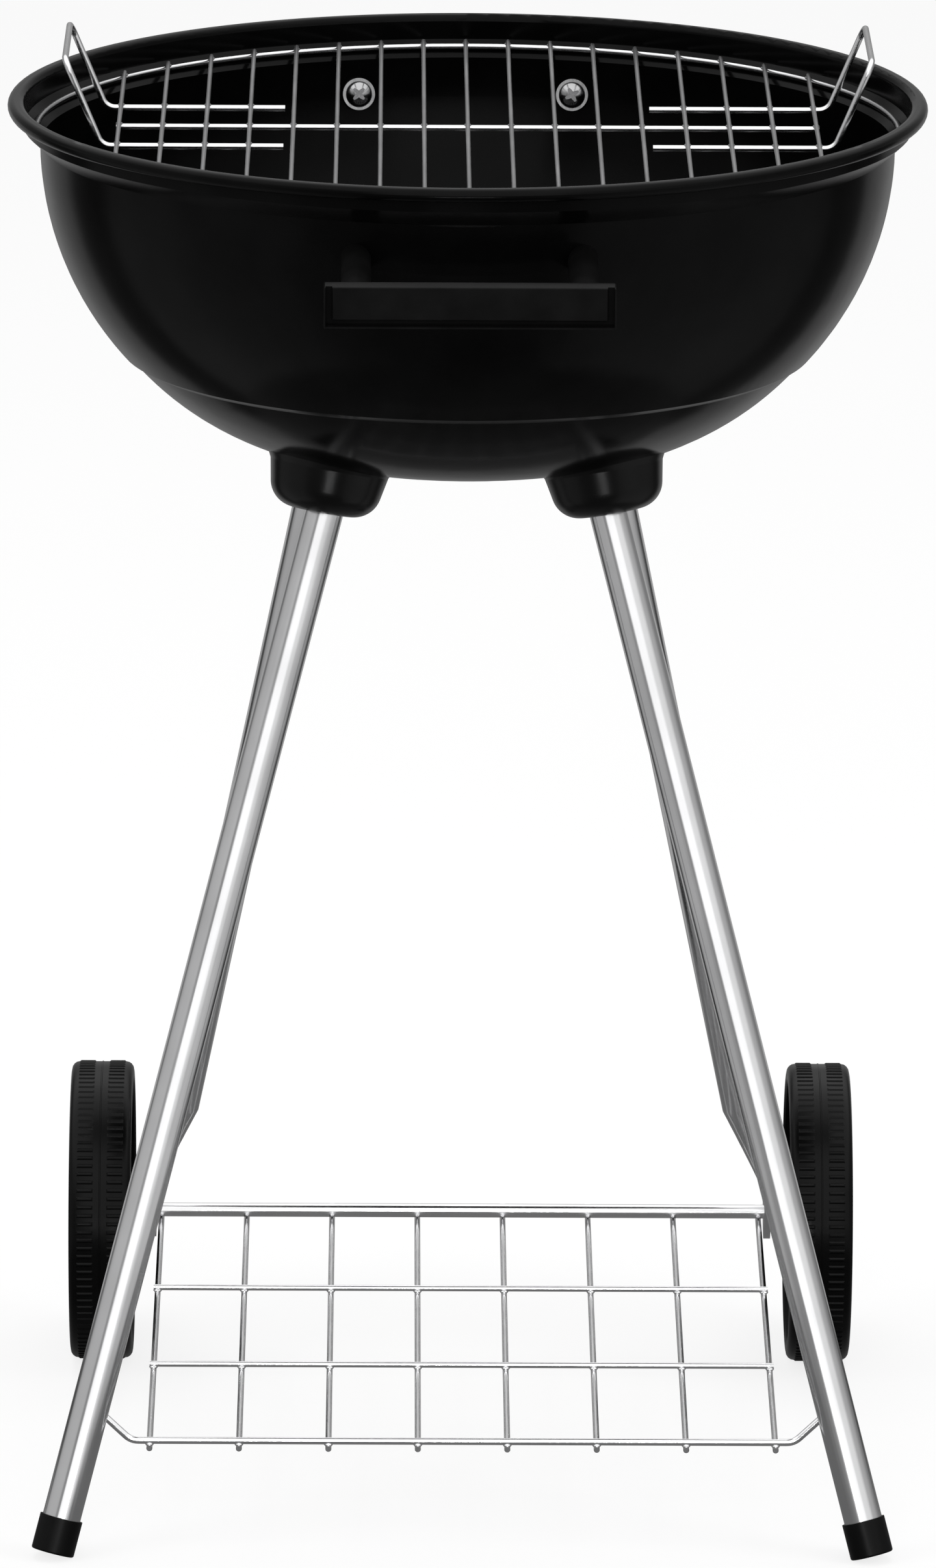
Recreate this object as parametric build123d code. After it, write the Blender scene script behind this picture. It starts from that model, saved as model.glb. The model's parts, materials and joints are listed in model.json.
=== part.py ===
from build123d import *
from math import asin, cos, degrees, radians, sin, sqrt
import os

# Kettle charcoal grill on four splayed legs, two with feet and two with wheels.
# Millimetres, +Z up, front is -Y. The floor is Z = 0 and the bowl's axis is the Z axis.

# Bowl: one sheet pressing with a rolled lip, a seat for the cooking grate and a ledge for the coals
RIM_HEIGHT = 696.0
RIM_RADIUS = 228.0
LIP_HEIGHT = 6.6
SHEET = 1.2
LIP_REACH = 7.5
BAND_DROP = 12.5
SEAT_STEP = 8.5
WALL_DROP = 20.5
WALL_ARC = 158.0
LEDGE_DROP = 125.5
LEDGE_WIDTH = 4.5
LEDGE_FALL = 2.5
BOWL_DEPTH = 178.0
FLAT_RADIUS = 58.0

# Leg sockets, square to the bowl, and legs
SOCKET_CIRCLE = 94.2
FRONT_CIRCLE = 90.0
REAR_CIRCLE = 93.5
FRONT_TILT = 20.24
REAR_TILT = 15.65
LEG_AZIMUTH = 44.0
SOCKET_RADIUS = 29.6
SOCKET_FLARE = 1.8
SOCKET_TAPER = 4.2
SOCKET_LENGTH = 22.0
SOCKET_CORNER = 13.5
SOCKET_ROOF = 4.0
LEG_RADIUS = 9.5
LEG_WALL = 1.2
LEG_FIT = 0.15
PLUG_LENGTH = 20.0
PLUG_FIT = 0.05

# Feet
FOOT_LENGTH = 18.0
FOOT_WALL = 1.2
FOOT_SOLE = 4.0
FOOT_LIFT = 2.0
FOOT_EDGE = 1.0

# Wheels and axle
WHEEL_RADIUS = 77.5
TREAD_WIDTH = 32.0
TREAD_WALL = 9.0
SHOULDER = 4.0
WEB_THICKNESS = 10.0
HUB_RADIUS = 15.0
HUB_LENGTH = 31.5
HUB_RECESS = 7.5
AXLE_RADIUS = 3.6
RUNNING_FIT = 0.08
END_PLAY = 0.3
CRUSH_LENGTH = 62.0
EYE_RADIUS = 14.0
EYE_OFFSET = 2.5
EYE_THICKNESS = 3.4
EYE_FIT = 0.1
WASHER_THICKNESS = 1.2
AXLE_WASHER_RADIUS = 8.0
CAP_RADIUS = 9.0
CAP_LENGTH = 6.0
CAP_GRIP = 4.0
CAP_EDGE = 2.0

# Lower rack
RACK_WIRES = 8
RACK_CROSS_WIRES = 2
RACK_WIRE_RADIUS = 1.5
RACK_SIDE_GAP = 1.2
RAIL_RADIUS = 1.75
RAIL_HEIGHT = 52.5
RAIL_RISE = 19.0
RAIL_RUN = 20.0
RAIL_BEND = 9.0
RAIL_FIT = 0.15
RAIL_SETBACK = 7.0
WIRE_NUB = 2.5
CROSS_OVERHANG = 2.0
HOOK_WRAP = 110.0

# Side handles, one at the front and one at the back
HANDLE_WIDTH = 139.5
HANDLE_HEIGHT = 20.0
HANDLE_DEPTH = 14.0
HANDLE_REACH = 54.0
HANDLE_DROP = 50.0
GROOVE_WIDTH = 3.2
GROOVE_DEPTH = 3.5
GROOVE_RIM = 0.9
POST_DROP = 38.5
POST_INSET = 15.25
POST_RADIUS = 7.2
POST_ROOT = 4.0

# Screws, all of one thread
SCREW_RADIUS = 3.0
SCREW_FIT = 0.05
HOLE_FIT = 0.3
SCREW_GRIP = 14.0
HEAD_RADIUS = 5.8
HEAD_HEIGHT = 3.2
HEAD_EDGE = 1.4
RECESS_WIDTH = 1.4
RECESS_SPAN = 5.6
RECESS_DEPTH = 1.6
SADDLE_RADIUS = 8.2
SADDLE_THICKNESS = 3.6

# Cooking grate
SEAT_GAP = 0.3
GRATE_RING_WIRE = 1.5
GRATE_RODS = 17
GRATE_ROD_INSET = 39.2
GRATE_ROD_WIRE = 1.1
ROD_END = 0.6
LOOP_WIRE = 1.6
LOOP_SPAN = 97.0
LOOP_RODS = 4
LOOP_TAIL = 17.0
LOOP_CLEAR = 7.5
LOOP_RISE = 43.0
LOOP_LEAN = 18.0
LOOP_BEND = 7.0

# Charcoal grate
COAL_RING_WIRE = 2.0
COAL_RODS = 13
COAL_ROD_INSET = 24.0
COAL_ROD_WIRE = 2.0
COAL_CROSS_INSET = 93.0

# Places worked out from the sizes above
BAND_RADIUS = RIM_RADIUS - LIP_REACH
WALL_RADIUS = BAND_RADIUS - SEAT_STEP
BOTTOM_Z = RIM_HEIGHT - BOWL_DEPTH
BAND_Z = RIM_HEIGHT - BAND_DROP
WALL_Z = RIM_HEIGHT - WALL_DROP
LEDGE_Z = RIM_HEIGHT - LEDGE_DROP
WALL_CENTRE_R = WALL_RADIUS - WALL_ARC
LEDGE_OUTER_R = WALL_CENTRE_R + sqrt(WALL_ARC**2 - (WALL_Z - LEDGE_Z) ** 2)
LEDGE_INNER_R = LEDGE_OUTER_R - LEDGE_WIDTH
DISH_RISE = LEDGE_Z - LEDGE_FALL - BOTTOM_Z
DISH_RUN = LEDGE_INNER_R - FLAT_RADIUS
DISH_ARC = (DISH_RUN**2 + DISH_RISE**2) / (2 * DISH_RISE)
POST_WALL_R = WALL_CENTRE_R + sqrt(WALL_ARC**2 - (POST_DROP - WALL_DROP) ** 2)
GRATE_OUTER_ROD = WALL_RADIUS - GRATE_ROD_INSET
GRATE_PITCH = 2 * GRATE_OUTER_ROD / (GRATE_RODS - 1)
POST_SPACING = HANDLE_WIDTH - 2 * POST_INSET
UP = (Align.CENTER, Align.CENTER, Align.MIN)


def polar(centre, radius, angle):
    """Point on a circle in the bowl's section, its angle in radians from straight outward."""
    return (centre[0] + radius * cos(angle), centre[1] + radius * sin(angle))


def screw_hole():
    """Clearance hole for a screw, cut both ways from where the screw crosses the bowl."""
    return Cylinder(SCREW_RADIUS + HOLE_FIT, 2 * SCREW_GRIP)


def section_face(edges):
    """Closed face in the X-Z plane from edges drawn as radius and height."""
    return Plane.XZ * make_face(edges)


def bar(start, end, radius):
    """Round bar between two points."""
    run = Vector(*end) - Vector(*start)
    return Plane(origin=start, z_dir=run) * Cylinder(radius, run.length, align=UP)


def bent_wire(points, radius, bend):
    """Round wire along straight stretches with rounded corners."""
    path = FilletPolyline(*points, radius=bend)
    return sweep(Plane(origin=path @ 0, z_dir=path % 0) * Circle(radius), path=path)


def ring(radius, wire, height):
    """Closed round-wire ring about the bowl's axis."""
    return Pos(0, 0, height) * Torus(radius, wire)


def bowl_filled(inset, top):
    """The bowl's outside, drawn in by the inset and filled up to a given height."""
    dish_centre = (FLAT_RADIUS, BOTTOM_Z + DISH_ARC)
    dish_end = asin(DISH_RUN / DISH_ARC) - radians(90)
    wall_centre = (WALL_CENTRE_R, WALL_Z)
    wall_end = -asin((WALL_Z - LEDGE_Z) / WALL_ARC)
    dish = DISH_ARC - inset
    wall = WALL_ARC - inset
    floor = polar(dish_centre, dish, radians(-90))
    dish_middle = polar(dish_centre, dish, (dish_end - radians(90)) / 2)
    dish_top = polar(dish_centre, dish, dish_end)
    wall_foot = polar(wall_centre, wall, wall_end)
    wall_middle = polar(wall_centre, wall, wall_end / 2)
    wall_top = polar(wall_centre, wall, 0)
    band_foot = (BAND_RADIUS - inset, BAND_Z)
    edges = [
        Line((0, floor[1]), floor),
        ThreePointArc(floor, dish_middle, dish_top),
        Line(dish_top, wall_foot),
        ThreePointArc(wall_foot, wall_middle, wall_top),
        Line(wall_top, band_foot),
        Polyline(band_foot, (band_foot[0], top), (0, top), (0, floor[1])),
    ]
    return revolve(section_face(edges), Axis.Z)


def lip():
    """Rolled lip round the top of the band."""
    inner = BAND_RADIUS - SHEET
    middle = (inner + RIM_RADIUS) / 2
    slot = SlotOverall(RIM_RADIUS - inner, LIP_HEIGHT)
    return revolve(Plane.XZ * Pos(middle, RIM_HEIGHT - LIP_HEIGHT / 2) * slot, Axis.Z)


def dish_slope(circle):
    """Slope of the bowl's dish from level, in degrees, at a distance from the bowl's axis."""
    return degrees(asin((circle - FLAT_RADIUS) / DISH_ARC))


def leg_plane(circle, tilt, side, end):
    """Frame of one leg or socket: origin on the bowl's outside, local Z down its axis.

    side is -1 for left and 1 for right, end is -1 for front and 1 for rear.
    """
    angle = radians(tilt)
    out = (side * cos(radians(LEG_AZIMUTH)), end * sin(radians(LEG_AZIMUTH)))
    height = BOTTOM_Z + DISH_ARC * (1 - cos(radians(dish_slope(circle))))
    seat = (out[0] * circle, out[1] * circle, height)
    down = (out[0] * sin(angle), out[1] * sin(angle), -cos(angle))
    return Plane(origin=seat, x_dir=(1, 0, 0), z_dir=down)


def leg_point(plane, height):
    """Point on a leg's axis at a height above the floor."""
    return plane.origin + plane.z_dir * ((height - plane.origin.Z) / plane.z_dir.Z)


def socket(seat, leg, bowl_outside):
    """Tapered, rounded cup square to the bowl, flared where they meet, bored along its leg."""
    flare = SOCKET_RADIUS + 2 * SOCKET_FLARE
    above = -4 * SOCKET_FLARE
    outline = Polyline(
        (0, above),
        (flare, above),
        (SOCKET_RADIUS, 0),
        (SOCKET_RADIUS - SOCKET_TAPER, SOCKET_LENGTH),
        (0, SOCKET_LENGTH),
        close=True,
    )
    face = make_face(outline)
    corner = face.vertices().sort_by(Axis.Y)[-2:].sort_by(Axis.X)[-1]
    face = fillet(corner, SOCKET_CORNER)
    cup = revolve(Plane.XZ * face, Axis.Z)
    bore = Pos(0, 0, SOCKET_ROOF) * Cylinder(LEG_RADIUS + LEG_FIT, 2 * SOCKET_LENGTH, align=UP)
    return seat * cup - leg * (bore + screw_hole()) - bowl_outside


def leg_tube(plane, end):
    """Plain tube along a leg's axis, from the socket's roof to a distance down the axis."""
    length = end - SOCKET_ROOF
    tube = Cylinder(LEG_RADIUS, length, align=UP)
    tube -= Cylinder(LEG_RADIUS - LEG_WALL, length, align=UP)
    return plane * Pos(0, 0, SOCKET_ROOF) * tube


def sole_distance(plane):
    """Distance down a front leg's axis to the middle of its foot's sole."""
    return (leg_point(plane, FOOT_LIFT) - plane.origin).length


def front_leg(plane, rail_hole):
    """Straight front leg with a hole for the rack's rail."""
    return leg_tube(plane, sole_distance(plane) - FOOT_SOLE) - rail_hole


def foot_cap(plane):
    """Cap on a front leg, with a small flat where it stands on the floor."""
    radius = LEG_RADIUS + FOOT_WALL
    sole = sole_distance(plane)
    cap = Pos(0, 0, sole - FOOT_LENGTH) * Cylinder(radius, FOOT_LENGTH, align=UP)
    cap = fillet(cap.edges().group_by(Axis.Z)[-1], FOOT_EDGE)
    bore = Pos(0, 0, sole - FOOT_SOLE - FOOT_LENGTH) * Cylinder(LEG_RADIUS, FOOT_LENGTH, align=UP)
    under_floor = Pos(plane.origin.X, plane.origin.Y, 0) * Box(
        RIM_HEIGHT, RIM_HEIGHT, RIM_HEIGHT, align=(Align.CENTER, Align.CENTER, Align.MAX)
    )
    return plane * (cap - bore) - under_floor


def axle_eye(plane):
    """Middle of a rear leg's eye, which is crushed to the outer side of the tube."""
    point = leg_point(plane, WHEEL_RADIUS)
    outward = EYE_OFFSET if point.X > 0 else -EYE_OFFSET
    return point + Vector(outward, 0, 0)


def rear_leg(plane):
    """Rear leg whose lower end is crushed flat into an eye for the axle."""
    axis_end = leg_point(plane, WHEEL_RADIUS)
    eye = axle_eye(plane)
    length = (axis_end - plane.origin).length
    fall = Vector(0, plane.z_dir.Y, plane.z_dir.Z).normalized()
    neck = eye - fall * EYE_RADIUS
    round_end = length - CRUSH_LENGTH
    crush = Plane(origin=plane.origin + plane.z_dir * round_end, x_dir=(1, 0, 0), z_dir=plane.z_dir)
    flat = Plane(origin=neck, x_dir=(1, 0, 0), z_dir=fall)
    taper = loft([crush * Circle(LEG_RADIUS), flat * Ellipse(EYE_THICKNESS / 2, EYE_RADIUS)])
    plate = flat * Box(EYE_THICKNESS, 2 * EYE_RADIUS, EYE_RADIUS, align=UP)
    disc = Pos(*eye) * Rot(0, 90, 0) * Cylinder(EYE_RADIUS, EYE_THICKNESS)
    hole = Pos(*eye) * Rot(0, 90, 0) * Cylinder(AXLE_RADIUS + EYE_FIT, 2 * EYE_RADIUS)
    return leg_tube(plane, round_end) + taper + plate + disc - hole


def leg_plug(plane):
    """Tapped plug in the top of a leg."""
    plug = Cylinder(LEG_RADIUS - LEG_WALL - PLUG_FIT, PLUG_LENGTH, align=UP)
    plug -= Cylinder(SCREW_RADIUS + SCREW_FIT, PLUG_LENGTH, align=UP)
    return plane * Pos(0, 0, SOCKET_ROOF) * plug


def screw(reach):
    """Pan-head screw along +Z, its head's underside at zero, with a cross recess."""
    head = Cylinder(HEAD_RADIUS, HEAD_HEIGHT, align=(Align.CENTER, Align.CENTER, Align.MAX))
    head = fillet(head.edges().group_by(Axis.Z)[0], HEAD_EDGE)
    slot = Box(RECESS_SPAN, RECESS_WIDTH, 2 * RECESS_DEPTH)
    head -= Pos(0, 0, -HEAD_HEIGHT) * (slot + Rot(0, 0, 90) * slot)
    return head + Cylinder(SCREW_RADIUS, reach, align=UP)


def leg_screw(plane, bowl_inside):
    """Screw from inside the bowl through the socket's roof into the leg's plug, its head bedded on the bowl."""
    reach = SHEET + SOCKET_ROOF + SCREW_GRIP
    hole = plane * Cylinder(SCREW_RADIUS + HOLE_FIT, 2 * reach)
    return plane * Pos(0, 0, -SHEET) * screw(reach) & (bowl_inside + hole)


def axle_stack(plane):
    """Places along the axle on one side, measured out from the middle of the grill."""
    eye = abs(axle_eye(plane).X)
    washer = eye + EYE_THICKNESS / 2
    hub = washer + WASHER_THICKNESS + END_PLAY
    cap = hub + HUB_LENGTH + END_PLAY
    return {"plate": eye - EYE_THICKNESS / 2, "washer": washer, "hub": hub, "cap": cap}


def on_axle(plane, side):
    """Frame on the axle's axis, local Z pointing outward on one side."""
    eye = axle_eye(plane)
    return Plane(origin=(0, eye.Y, eye.Z), x_dir=(0, 1, 0), z_dir=(side, 0, 0))


def wheel(plane, side):
    """Moulded wheel with a tread, a recessed web on both sides and a long hub."""
    hub = axle_stack(plane)["hub"]
    outside = hub + HUB_LENGTH + HUB_RECESS
    inside = outside - TREAD_WIDTH
    web = (outside + inside) / 2
    tread = Pos(0, 0, inside) * Cylinder(WHEEL_RADIUS, TREAD_WIDTH, align=UP)
    tread = fillet(tread.edges(), SHOULDER)
    tread -= Pos(0, 0, inside) * Cylinder(WHEEL_RADIUS - TREAD_WALL, TREAD_WIDTH, align=UP)
    disc = Pos(0, 0, web) * Cylinder(WHEEL_RADIUS - TREAD_WALL, WEB_THICKNESS)
    boss = Pos(0, 0, hub) * Cylinder(HUB_RADIUS, HUB_LENGTH, align=UP)
    bore = Pos(0, 0, hub) * Cylinder(AXLE_RADIUS + RUNNING_FIT, HUB_LENGTH, align=UP)
    return on_axle(plane, side) * (tread + disc + boss - bore)


def axle(plane):
    """Round axle between the two end caps."""
    length = 2 * (axle_stack(plane)["cap"] + CAP_GRIP)
    return on_axle(plane, 1) * Cylinder(AXLE_RADIUS, length)


def axle_washer(plane, side):
    """Washer between a rear leg's eye and the wheel's hub."""
    washer = Cylinder(AXLE_WASHER_RADIUS, WASHER_THICKNESS, align=UP)
    washer -= Cylinder(AXLE_RADIUS + EYE_FIT, WASHER_THICKNESS, align=UP)
    return on_axle(plane, side) * Pos(0, 0, axle_stack(plane)["washer"]) * washer


def axle_cap(plane, side):
    """Push-on cap that keeps a wheel on the axle."""
    cap = Cylinder(CAP_RADIUS, CAP_LENGTH, align=UP)
    cap = fillet(cap.edges().group_by(Axis.Z)[-1], CAP_EDGE)
    cap -= Cylinder(AXLE_RADIUS, CAP_GRIP, align=UP)
    return on_axle(plane, side) * Pos(0, 0, axle_stack(plane)["cap"]) * cap


def rack_pitch(plane):
    """Spacing that puts the outer wires just inside the rear legs' eyes."""
    outer = axle_stack(plane)["plate"] - RACK_SIDE_GAP - RACK_WIRE_RADIUS
    return 2 * outer / (RACK_WIRES - 1)


def rail_points(plane):
    """Corners of the rack's front rail, whose ends rise into the front legs."""
    entry = leg_point(plane, RAIL_HEIGHT + RAIL_RISE)
    across = abs(entry.X)
    back = entry.Y + RAIL_SETBACK
    corner = across - RAIL_RUN
    high = RAIL_HEIGHT + RAIL_RISE
    return [
        (-across, back, high),
        (-corner, back, RAIL_HEIGHT),
        (corner, back, RAIL_HEIGHT),
        (across, back, high),
    ]


def rack_line(front, rear):
    """Front end and axle end of a rack wire's axis, as depth and height, with its direction."""
    rail = rail_points(front)[1]
    eye = axle_eye(rear)
    hook = AXLE_RADIUS + RACK_WIRE_RADIUS
    start = Vector(rail[1], RAIL_HEIGHT - RAIL_RADIUS - RACK_WIRE_RADIUS)
    to_axle = Vector(eye.Y, eye.Z) - start
    lean = asin(hook / to_axle.length)
    way = to_axle.normalized().rotate(Axis.Z, -degrees(lean))
    return start - way * WIRE_NUB, start + way * (to_axle.length * cos(lean)), way


def rack_wire(front, rear, across):
    """Wire that runs under the front rail and hooks round the axle from below."""
    start, touch, way = rack_line(front, rear)
    hook = JernArc(touch, way, AXLE_RADIUS + RACK_WIRE_RADIUS, HOOK_WRAP)
    path = Plane.YZ.offset(across) * Wire([Line(start, touch).edge(), hook.edge()])
    return sweep(Plane(origin=path @ 0, z_dir=path % 0) * Circle(RACK_WIRE_RADIUS), path=path)


def rack_cross_wire(front, rear, share):
    """Wire lying across the rack's wires, at a share of the way from the rail to the axle."""
    start, touch, way = rack_line(front, rear)
    rise = Vector(-way.Y, way.X) * (2 * RACK_WIRE_RADIUS)
    place = start + (touch - start) * share + rise
    half = rack_pitch(rear) * (RACK_WIRES - 1) / 2 + CROSS_OVERHANG
    return bar((-half, place.X, place.Y), (half, place.X, place.Y), RACK_WIRE_RADIUS)


def post_plane(end, side):
    """Frame of one handle post and its screw: origin on the wall, local Z out to the grip."""
    across = side * POST_SPACING / 2
    depth = sqrt(POST_WALL_R**2 - across**2)
    grip = POST_WALL_R + HANDLE_REACH - HANDLE_DEPTH / 2
    wall = Vector(across, end * depth, RIM_HEIGHT - POST_DROP)
    reach = Vector(across, end * grip, RIM_HEIGHT - HANDLE_DROP) - wall
    return Plane(origin=wall, x_dir=(1, 0, 0), z_dir=reach)


def handle(end, bowl_outside):
    """Moulded handle: an upright grip bar on two sloping posts trimmed to the bowl.

    A groove near the edge of the bar's face runs down both ends and along the bottom.
    """
    back = POST_WALL_R + HANDLE_REACH - HANDLE_DEPTH
    at_back = (Align.CENTER, Align.MAX, Align.CENTER)
    grip = Box(HANDLE_WIDTH, HANDLE_DEPTH, HANDLE_HEIGHT, align=at_back)
    inside_rim = Box(HANDLE_WIDTH - 2 * GROOVE_RIM, GROOVE_DEPTH, HANDLE_HEIGHT, align=at_back)
    rim_and_groove = GROOVE_RIM + GROOVE_WIDTH
    panel = Box(HANDLE_WIDTH - 2 * rim_and_groove, GROOVE_DEPTH, HANDLE_HEIGHT, align=at_back)
    groove = Pos(0, 0, GROOVE_RIM) * inside_rim - Pos(0, 0, rim_and_groove) * panel
    grip -= Pos(0, GROOVE_DEPTH - HANDLE_DEPTH, 0) * groove
    turn = 0 if end < 0 else 180
    grip = Pos(0, end * back, RIM_HEIGHT - HANDLE_DROP) * Rot(0, 0, turn) * grip
    for side in (-1, 1):
        plane = post_plane(end, side)
        run = (back - abs(plane.origin.Y)) / abs(plane.z_dir.Y)
        post = Pos(0, 0, -POST_ROOT) * Cylinder(POST_RADIUS, run + 2 * POST_ROOT, align=UP)
        post -= Cylinder(SCREW_RADIUS + SCREW_FIT, 2 * (SCREW_GRIP + SCREW_FIT))
        grip += plane * post
    return grip - bowl_outside


def handle_screw(end, side):
    """Screw from inside the bowl through a washer and the wall into a handle post."""
    seat = SHEET + SADDLE_THICKNESS
    return post_plane(end, side) * Pos(0, 0, -seat) * screw(seat + SCREW_GRIP)


def handle_washer(end, side, bowl_inside):
    """Saddle washer under a handle screw's head, shaped to the wall behind it."""
    seat = SHEET + SADDLE_THICKNESS
    washer = Pos(0, 0, -seat) * Cylinder(SADDLE_RADIUS, 2 * seat, align=UP)
    washer -= Cylinder(SCREW_RADIUS + HOLE_FIT, 2 * seat)
    return post_plane(end, side) * washer & bowl_inside


def grate_seat():
    """Ring radius and height of the cooking grate where its wire lies on the bowl's seat."""
    run = BAND_RADIUS - WALL_RADIUS
    rise = BAND_Z - WALL_Z
    off = (GRATE_RING_WIRE + SEAT_GAP) / sqrt(run**2 + rise**2)
    radius = (WALL_RADIUS + BAND_RADIUS) / 2 - SHEET - rise * off
    return radius, (WALL_Z + BAND_Z) / 2 + run * off


def coal_seat():
    """Ring radius and height of the charcoal grate where its wire lies on the ledge."""
    length = sqrt(LEDGE_WIDTH**2 + LEDGE_FALL**2)
    off = (SHEET + COAL_RING_WIRE + SEAT_GAP) / length
    radius = LEDGE_OUTER_R - LEDGE_WIDTH / 2 - LEDGE_FALL * off
    return radius, LEDGE_Z - LEDGE_FALL / 2 + LEDGE_WIDTH * off


def grill_rods(count, outer, wire, radius, height):
    """Parallel front-to-back rods that end on a ring, the outermost at a given distance from the middle."""
    rods = []
    for index in range(count):
        across = (2 * index / (count - 1) - 1) * outer
        half = sqrt(radius**2 - across**2) + ROD_END
        rods.append(bar((across, -half, height), (across, half, height), wire))
    return rods


def grate_loop(side, height):
    """Wire handle of the cooking grate: two legs under the outer rods and a raised crossbar."""
    inner = GRATE_OUTER_ROD - (LOOP_RODS - 1) * GRATE_PITCH - LOOP_TAIL
    bend = GRATE_OUTER_ROD + LOOP_CLEAR
    half = LOOP_SPAN / 2
    top = height + LOOP_RISE
    points = [
        (side * inner, -half, height),
        (side * bend, -half, height),
        (side * (bend + LOOP_LEAN), -half, top),
        (side * (bend + LOOP_LEAN), half, top),
        (side * bend, half, height),
        (side * inner, half, height),
    ]
    return bent_wire(points, LOOP_WIRE, LOOP_BEND)


def grouped(solids):
    """Separate solids that share one node."""
    return Compound(children=[Compound(item.solids()) for item in solids])


def cooking_grate():
    """The cooking grate's ring, rods, cross rod and two wire handles."""
    radius, height = grate_seat()
    rods = height + GRATE_RING_WIRE + GRATE_ROD_WIRE
    half = GRATE_OUTER_ROD + GRATE_RING_WIRE
    loop = rods - GRATE_ROD_WIRE - LOOP_WIRE
    parallel = grill_rods(GRATE_RODS, GRATE_OUTER_ROD, GRATE_ROD_WIRE, radius, rods)
    return {
        "cooking_grate_ring": ring(radius, GRATE_RING_WIRE, height),
        "cooking_grate_rods": grouped(parallel),
        "cooking_grate_cross_rod": bar((-half, 0, height), (half, 0, height), GRATE_RING_WIRE),
        "grate_handle_left": grate_loop(-1, loop),
        "grate_handle_right": grate_loop(1, loop),
    }


def charcoal_grate():
    """The charcoal grate's ring, rods and two cross rods."""
    radius, height = coal_seat()
    rods = height + COAL_RING_WIRE + COAL_ROD_WIRE
    outer = radius - COAL_ROD_INSET
    parallel = grill_rods(COAL_RODS, outer, COAL_ROD_WIRE, radius, rods)
    cross = []
    for end in (-1, 1):
        depth = end * (radius - COAL_CROSS_INSET)
        cross.append(bar((-outer, depth, height), (outer, depth, height), COAL_RING_WIRE))
    return {
        "charcoal_grate_ring": ring(radius, COAL_RING_WIRE, height),
        "charcoal_grate_rods": grouped(parallel),
        "charcoal_grate_cross_rods": grouped(cross),
    }


def build():
    """All nodes of the grill by name."""
    sides = {"left": -1, "right": 1}
    ends = {"front": -1, "rear": 1}
    tilts = {"front": FRONT_TILT, "rear": REAR_TILT}
    circles = {"front": FRONT_CIRCLE, "rear": REAR_CIRCLE}
    legs = {
        (end, side): leg_plane(circles[end], tilts[end], sides[side], ends[end])
        for end in ends
        for side in sides
    }
    front = legs["front", "right"]
    rear = legs["rear", "right"]
    outside = bowl_filled(0, RIM_HEIGHT - LIP_HEIGHT / 2)
    inside = bowl_filled(SHEET, RIM_HEIGHT)
    bowl = outside - inside + lip()
    for plane in legs.values():
        bowl -= plane * screw_hole()
    for end in ends.values():
        for side in sides.values():
            bowl -= post_plane(end, side) * screw_hole()
    rail = rail_points(front)

    nodes = {"bowl": bowl}
    for (end, side), plane in legs.items():
        seat = leg_plane(SOCKET_CIRCLE, dish_slope(SOCKET_CIRCLE), sides[side], ends[end])
        nodes[f"leg_socket_{end}_{side}"] = socket(seat, plane, outside)
    for side, sign in sides.items():
        plane = legs["front", side]
        rail_end = rail[:2] if sign < 0 else rail[2:]
        nodes[f"front_leg_{side}"] = front_leg(plane, bar(*rail_end, RAIL_RADIUS + RAIL_FIT))
        nodes[f"foot_cap_{side}"] = foot_cap(plane)
        nodes[f"rear_leg_{side}"] = rear_leg(legs["rear", side])
        nodes[f"wheel_{side}"] = wheel(rear, sign)
        nodes[f"axle_cap_{side}"] = axle_cap(rear, sign)
    nodes["leg_plugs"] = grouped([leg_plug(plane) for plane in legs.values()])
    nodes["leg_screws"] = grouped([leg_screw(plane, inside) for plane in legs.values()])
    nodes["axle"] = axle(rear)
    nodes["axle_washers"] = grouped([axle_washer(rear, sign) for sign in sides.values()])

    pitch = rack_pitch(rear)
    spread = [(index - (RACK_WIRES - 1) / 2) * pitch for index in range(RACK_WIRES)]
    shares = [(index + 1) / (RACK_CROSS_WIRES + 1) for index in range(RACK_CROSS_WIRES)]
    nodes["rack_wires"] = grouped([rack_wire(front, rear, across) for across in spread])
    nodes["rack_cross_wires"] = grouped([rack_cross_wire(front, rear, share) for share in shares])
    nodes["rack_front_rail"] = bent_wire(rail, RAIL_RADIUS, RAIL_BEND)

    screws = []
    washers = []
    for name, end in ends.items():
        nodes[f"{name}_handle"] = handle(end, outside)
        for side in sides.values():
            screws.append(handle_screw(end, side))
            washers.append(handle_washer(end, side, inside))
    nodes["handle_screws"] = grouped(screws)
    nodes["handle_washers"] = grouped(washers)
    nodes.update(cooking_grate())
    nodes.update(charcoal_grate())
    return nodes


os.makedirs("parts", exist_ok=True)
for name, shape in build().items():
    export_step(shape, f"parts/{name}.step")
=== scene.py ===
"""Looks of a kettle charcoal grill.

The CAD nodes get their finishes. Wheels, side handles, screw heads and welds are modelled in detail.
A white studio and the camera stand round them.
"""

import json
import logging
import math
from contextlib import contextmanager
from dataclasses import dataclass
from enum import Enum
from typing import Callable, Iterator

import bmesh
import bpy
from mathutils import Matrix, Vector


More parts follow.
